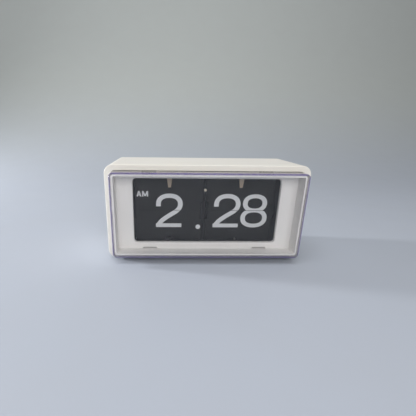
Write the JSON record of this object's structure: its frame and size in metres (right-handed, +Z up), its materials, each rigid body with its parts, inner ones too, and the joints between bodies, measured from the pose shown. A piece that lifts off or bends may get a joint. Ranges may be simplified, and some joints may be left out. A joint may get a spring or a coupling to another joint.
{
  "type": "flip number clock",
  "caption": "Battery desk clock with split-flap hour and minute stacks in a white rounded box, behind a clear box-shaped front cover; thumbwheel setting and battery door at the back.",
  "frame": {"origin": "centre of the bounding box at table level", "axes": "+X to the right of the dial, the dial faces -Y, +Z up"},
  "size_m": [0.1648, 0.0806, 0.0806],
  "materials": {
    "white_case": "satin moulded",
    "white_tray": "fine matt moulded",
    "clear_lens": "clear polished acrylic",
    "black_flap": "matt printed film",
    "black_plastic": "matt moulded",
    "tan_catch": "satin moulded",
    "cream_nylon": "natural nylon",
    "plate_steel": "blackened sheet",
    "screw_steel": "turned, plated",
    "bush_brass": "turned",
    "contact_metal": "nickel plated",
    "cell_jacket": "printed jacket",
    "board_green": "lacquered board",
    "chip_black": "moulded",
    "lead_red": "wire sleeve",
    "lead_black": "wire sleeve",
    "foot_rubber": "moulded rubber"
  },
  "bodies": {
    "case": {"case_shell": "white_case", "rear_cover": "white_case", "rear_cover_screws": "screw_steel", "feet": "foot_rubber", "lens_cover": "clear_lens", "tray_bezel": "white_tray", "window_mask": "black_plastic", "left_side_plate": "plate_steel", "right_side_plate": "plate_steel", "centre_plate": "black_plastic", "tie_rods": "screw_steel", "tie_rod_nuts": "screw_steel", "plate_bushes": "bush_brass", "wheel_studs": "screw_steel", "frame_screws": "screw_steel", "small_screws": "screw_steel", "catch_bar": "black_plastic", "hour_catch": "tan_catch", "minute_catch": "tan_catch", "centre_peg": "cream_nylon", "hour_flap_lower": "black_flap", "hour_flaps_standing": "black_flap", "hour_flaps_rear": "black_flap", "hour_flaps_hanging": "black_flap", "minute_flap_lower": "black_flap", "minute_flaps_standing": "black_flap", "minute_flaps_rear": "black_flap", "minute_flaps_hanging": "black_flap", "battery_cradle": "black_plastic", "battery_cell": "cell_jacket", "battery_spring": "contact_metal", "battery_contact": "contact_metal", "battery_lead_positive": "lead_red", "battery_lead_negative": "lead_black", "motor_leads": "lead_black", "motor_can": "plate_steel", "motor_bracket": "plate_steel", "circuit_board": "board_green", "drive_chip": "chip_black", "quartz_can": "contact_metal"},
    "minute_drum": {"minute_axle": "screw_steel", "minute_barrel": "black_plastic", "minute_discs": "black_plastic", "minute_wheel": "cream_nylon", "transfer_pinion": "cream_nylon"},
    "hour_drum": {"hour_sleeve": "black_plastic", "hour_discs": "black_plastic", "hour_wheel": "cream_nylon"},
    "reduction": {"reduction_wheel": "cream_nylon", "reduction_pinion": "cream_nylon"},
    "intermediate": {"intermediate_wheel": "cream_nylon", "intermediate_pinion": "cream_nylon"},
    "motor_rotor": {"motor_pinion": "cream_nylon"},
    "setting": {"setting_arbor": "screw_steel", "setting_gear": "cream_nylon", "thumbwheel": "black_plastic"},
    "hour_leaf": {"hour_flap_top": "black_flap"},
    "minute_leaf": {"minute_flap_top": "black_flap"},
    "door": {"battery_door": "white_case"}
  },
  "joints": [
    {"name": "minute_drum_turn", "type": "hinge", "parent": "case", "child": "minute_drum", "pos_m": [0, -0.00481, 0.0401], "axis": [1, 0, 0], "continuous": true},
    {"name": "hour_drum_turn", "type": "hinge", "parent": "case", "child": "hour_drum", "pos_m": [0, -0.00481, 0.0401], "axis": [1, 0, 0], "continuous": true},
    {"name": "reduction_turn", "type": "hinge", "parent": "case", "child": "reduction", "pos_m": [0, 0.01269, 0.0401], "axis": [1, 0, 0], "continuous": true},
    {"name": "intermediate_turn", "type": "hinge", "parent": "case", "child": "intermediate", "pos_m": [0, 0.00875, 0.0401], "axis": [1, 0, 0], "continuous": true},
    {"name": "motor_turn", "type": "hinge", "parent": "case", "child": "motor_rotor", "pos_m": [0, 0.0022, 0.05809], "axis": [1, 0, 0], "continuous": true},
    {"name": "setting_turn", "type": "hinge", "parent": "case", "child": "setting", "pos_m": [0, 0.02869, 0.0401], "axis": [1, 0, 0], "continuous": true},
    {"name": "hour_flap_fall", "type": "hinge", "parent": "case", "child": "hour_leaf", "pos_m": [0, -0.01374, 0.04127], "axis": [1, 0, 0], "range_deg": [0, 178]},
    {"name": "minute_flap_fall", "type": "hinge", "parent": "case", "child": "minute_leaf", "pos_m": [0, -0.0138, 0.04057], "axis": [1, 0, 0], "range_deg": [0, 178]},
    {"name": "battery_door_swing", "type": "hinge", "parent": "case", "child": "door", "pos_m": [0, 0.03669, 0.01], "axis": [-1, 0, 0], "range_deg": [0, 100]}
  ],
  "couplings": [
    {"joint": "hour_drum_turn", "follows": "minute_drum_turn", "ratio": 0.041667},
    {"joint": "reduction_turn", "follows": "minute_drum_turn", "ratio": -0.25},
    {"joint": "intermediate_turn", "follows": "minute_drum_turn", "ratio": -2.4},
    {"joint": "motor_turn", "follows": "minute_drum_turn", "ratio": 9.12},
    {"joint": "setting_turn", "follows": "minute_drum_turn", "ratio": 7.6}
  ]
}
